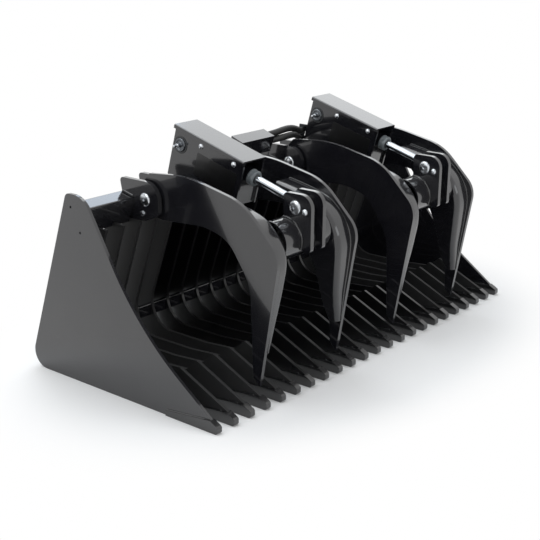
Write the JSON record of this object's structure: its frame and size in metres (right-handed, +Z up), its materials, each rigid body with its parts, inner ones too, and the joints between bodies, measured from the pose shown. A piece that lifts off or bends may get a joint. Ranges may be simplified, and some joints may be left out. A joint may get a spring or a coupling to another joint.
{
  "type": "skid steer rock grapple",
  "caption": "Rock grapple bucket with a row of tines, side plates and two clamping arms, each worked by a guarded hydraulic cylinder.",
  "frame": {"origin": "on the ground, in the middle of the outline seen from above", "axes": "+X across the machine to the right seen from the front, +Y back towards the loader, +Z up"},
  "size_m": [1.9938, 1.0212, 0.9602],
  "materials": {
    "black_powder_coat": "gloss",
    "wear_steel": "satin",
    "zinc": "satin",
    "chrome_rod": "polished",
    "hose_rubber": "matte"
  },
  "bodies": {
    "bucket": {"tine_01": "black_powder_coat", "tine_02": "black_powder_coat", "tine_03": "black_powder_coat", "tine_04": "black_powder_coat", "tine_05": "black_powder_coat", "tine_06": "black_powder_coat", "tine_07": "black_powder_coat", "tine_08": "black_powder_coat", "tine_09": "black_powder_coat", "tine_10": "black_powder_coat", "tine_11": "black_powder_coat", "tine_12": "black_powder_coat", "tine_13": "black_powder_coat", "tine_14": "black_powder_coat", "tine_15": "black_powder_coat", "tine_16": "black_powder_coat", "tine_17": "black_powder_coat", "tine_18": "black_powder_coat", "tine_19": "black_powder_coat", "tine_20": "black_powder_coat", "tine_21": "black_powder_coat", "tine_points": "wear_steel", "side_plate_left": "black_powder_coat", "side_plate_right": "black_powder_coat", "top_tube": "black_powder_coat", "heel_bar": "black_powder_coat", "quick_attach_plate": "black_powder_coat", "quick_attach_ribs": "black_powder_coat", "pivot_ears_left": "black_powder_coat", "pivot_ears_right": "black_powder_coat", "pivot_pins": "zinc", "pivot_pin_bolts": "zinc", "tower_lugs_left": "black_powder_coat", "tower_lugs_right": "black_powder_coat", "hose_cover": "black_powder_coat", "hose_upper": "hose_rubber", "hose_lower": "hose_rubber", "hose_fittings": "zinc"},
    "grapple_left": {"arm_plates_left": "black_powder_coat", "arm_boxes_left": "black_powder_coat", "cross_tube_left": "black_powder_coat", "clevis_ears_left": "black_powder_coat"},
    "cylinder_left": {"barrel_left": "black_powder_coat", "guard_cover_left": "black_powder_coat", "guard_sides_left": "black_powder_coat", "guard_bolts_left": "zinc", "base_pin_left": "zinc"},
    "ram_left": {"rod_left": "chrome_rod", "clevis_pin_left": "zinc"},
    "grapple_right": {"arm_plates_right": "black_powder_coat", "arm_boxes_right": "black_powder_coat", "cross_tube_right": "black_powder_coat", "clevis_ears_right": "black_powder_coat"},
    "cylinder_right": {"barrel_right": "black_powder_coat", "guard_cover_right": "black_powder_coat", "guard_sides_right": "black_powder_coat", "guard_bolts_right": "zinc", "base_pin_right": "zinc"},
    "ram_right": {"rod_right": "chrome_rod", "clevis_pin_right": "zinc"}
  },
  "joints": [
    {"name": "grapple_left_pivot", "type": "hinge", "parent": "bucket", "child": "grapple_left", "pos_m": [-0.44, 0.12884, 0.698], "axis": [-1, 0, 0], "range_deg": [0, 45]},
    {"name": "cylinder_left_pivot", "type": "hinge", "parent": "bucket", "child": "cylinder_left", "pos_m": [-0.44, 0.13784, 0.879], "axis": [-1, 0, 0], "range_deg": [0, 46]},
    {"name": "ram_left_slide", "type": "slide", "parent": "cylinder_left", "child": "ram_left", "axis": [0, 0.9612, 0.2758], "range_m": [0, 0.14]},
    {"name": "grapple_right_pivot", "type": "hinge", "parent": "bucket", "child": "grapple_right", "pos_m": [0.44, 0.12884, 0.698], "axis": [-1, 0, 0], "range_deg": [0, 45]},
    {"name": "cylinder_right_pivot", "type": "hinge", "parent": "bucket", "child": "cylinder_right", "pos_m": [0.44, 0.13784, 0.879], "axis": [-1, 0, 0], "range_deg": [0, 46]},
    {"name": "ram_right_slide", "type": "slide", "parent": "cylinder_right", "child": "ram_right", "axis": [0, 0.9612, 0.2758], "range_m": [0, 0.14]}
  ],
  "couplings": [
    {"joint": "cylinder_left_pivot", "follows": "grapple_left_pivot", "ratio": 1.012},
    {"joint": "ram_left_slide", "follows": "grapple_left_pivot", "m_per_rad": 0.176},
    {"joint": "cylinder_right_pivot", "follows": "grapple_right_pivot", "ratio": 1.012},
    {"joint": "ram_right_slide", "follows": "grapple_right_pivot", "m_per_rad": 0.176}
  ]
}
